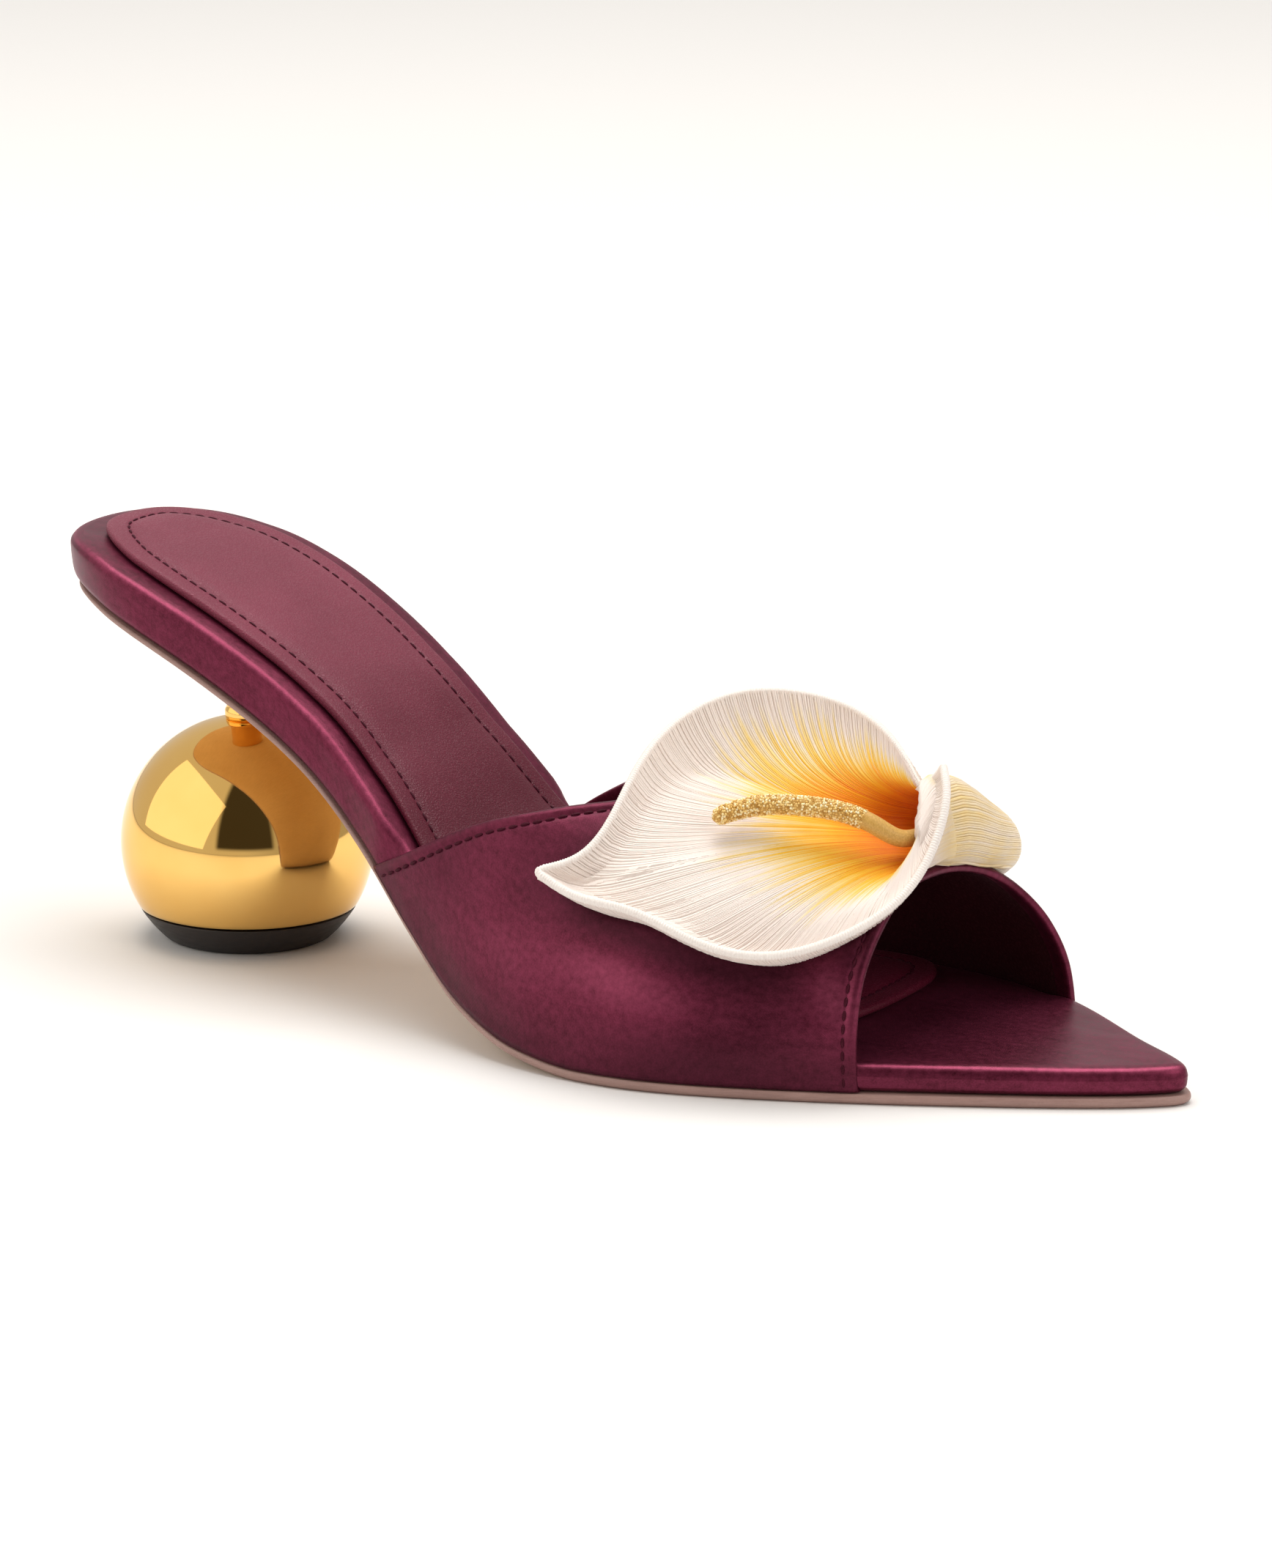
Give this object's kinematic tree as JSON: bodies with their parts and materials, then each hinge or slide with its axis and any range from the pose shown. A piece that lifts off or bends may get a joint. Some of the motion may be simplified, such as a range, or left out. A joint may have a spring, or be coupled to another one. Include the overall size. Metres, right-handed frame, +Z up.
{
  "type": "heeled mule",
  "caption": "Satin heeled mule with a pointed open toe, a vamp band, a polished ball heel and a calla flower laid on the vamp.",
  "frame": {"origin": "middle of the whole shoe's plan, on the floor it stands on", "axes": "+X to the toe, +Y to the medial side, +Z up"},
  "size_m": [0.2328, 0.0832, 0.0772],
  "materials": {
    "outsole": "smooth rose leather",
    "satin": "burgundy satin",
    "sock": "burgundy leather with a fine pebble grain",
    "band": "burgundy satin",
    "stem_gold": "gold plated, mirror polished",
    "ball_gold": "gold plated, mirror polished",
    "lift": "black rubber",
    "petal": "ivory silk threads, yellow in the throat",
    "spadix": "gold glitter beads",
    "stalk": "burgundy leather"
  },
  "bodies": {
    "root": {"outsole": "outsole", "footbed": "satin", "sock_pad": "sock", "upper": "band", "heel_stem": "stem_gold", "heel_ball": "ball_gold", "top_lift": "lift", "flower_spathe": "petal", "flower_spadix": "spadix", "flower_stem": "stalk"}
  },
  "joints": []
}
